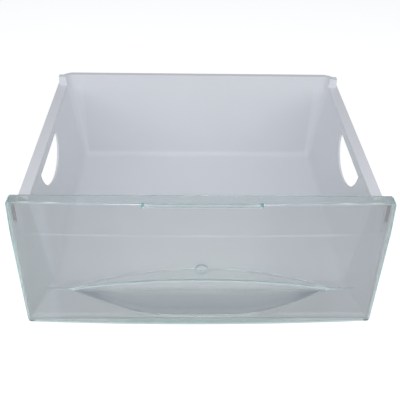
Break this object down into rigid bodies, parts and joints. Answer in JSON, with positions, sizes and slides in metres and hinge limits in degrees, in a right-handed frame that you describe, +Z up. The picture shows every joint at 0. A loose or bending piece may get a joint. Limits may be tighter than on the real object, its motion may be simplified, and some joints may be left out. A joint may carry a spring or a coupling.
{
  "type": "freezer drawer",
  "caption": "Pull-out freezer drawer: drafted white tub with side hand holes, sliding rims and rear stops, closed by a clear bowed front panel with an arched finger scoop.",
  "frame": {"origin": "middle of the drawer's footprint, on the surface it stands on", "axes": "+X to the right across the drawer, +Y towards its back, so the clear panel faces -Y, +Z up"},
  "size_m": [0.45, 0.3578, 0.19],
  "materials": {
    "white_plastic": "satin moulded white, very fine grain",
    "clear_plastic": "clear, polished, faint blue-green tint"
  },
  "bodies": {
    "root": {"tub": "white_plastic", "front_panel": "clear_plastic"}
  },
  "joints": []
}
